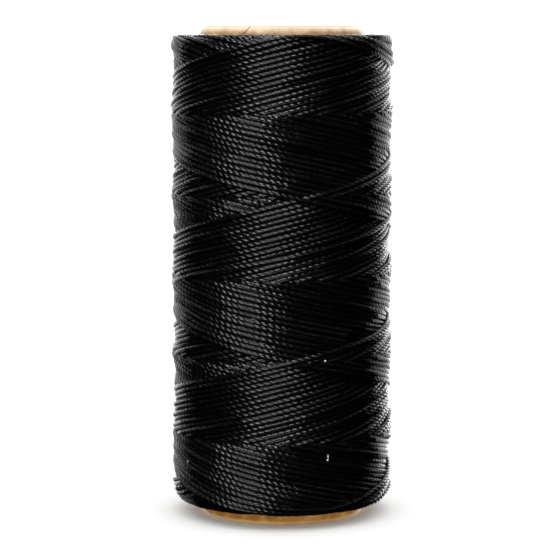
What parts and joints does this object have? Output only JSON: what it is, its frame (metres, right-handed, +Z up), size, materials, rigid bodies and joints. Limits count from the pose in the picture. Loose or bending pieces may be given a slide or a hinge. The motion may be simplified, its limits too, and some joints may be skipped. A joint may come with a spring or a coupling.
{
  "type": "waxed thread spool",
  "caption": "Parallel paperboard tube carrying a cross-wound pack of black waxed leather-sewing thread, open right through for a peg.",
  "frame": {"origin": "centre of the tube's lower end, on the surface that it stands on", "axes": "+Z up along the tube's axis; -Y is the side seen in the picture"},
  "size_m": [0.045, 0.045, 0.1],
  "materials": {
    "kraft_paper": "satin",
    "core_board": "matte",
    "liner_paper": "matte",
    "waxed_thread": "waxed, low sheen"
  },
  "bodies": {
    "root": {"outer_kraft_ply": "kraft_paper", "board_ply_5": "core_board", "board_ply_4": "core_board", "board_ply_3": "core_board", "board_ply_2": "core_board", "board_ply_1": "core_board", "inner_liner_ply": "liner_paper", "thread_inner_layers": "waxed_thread", "thread_outer_winding": "waxed_thread"}
  },
  "joints": []
}
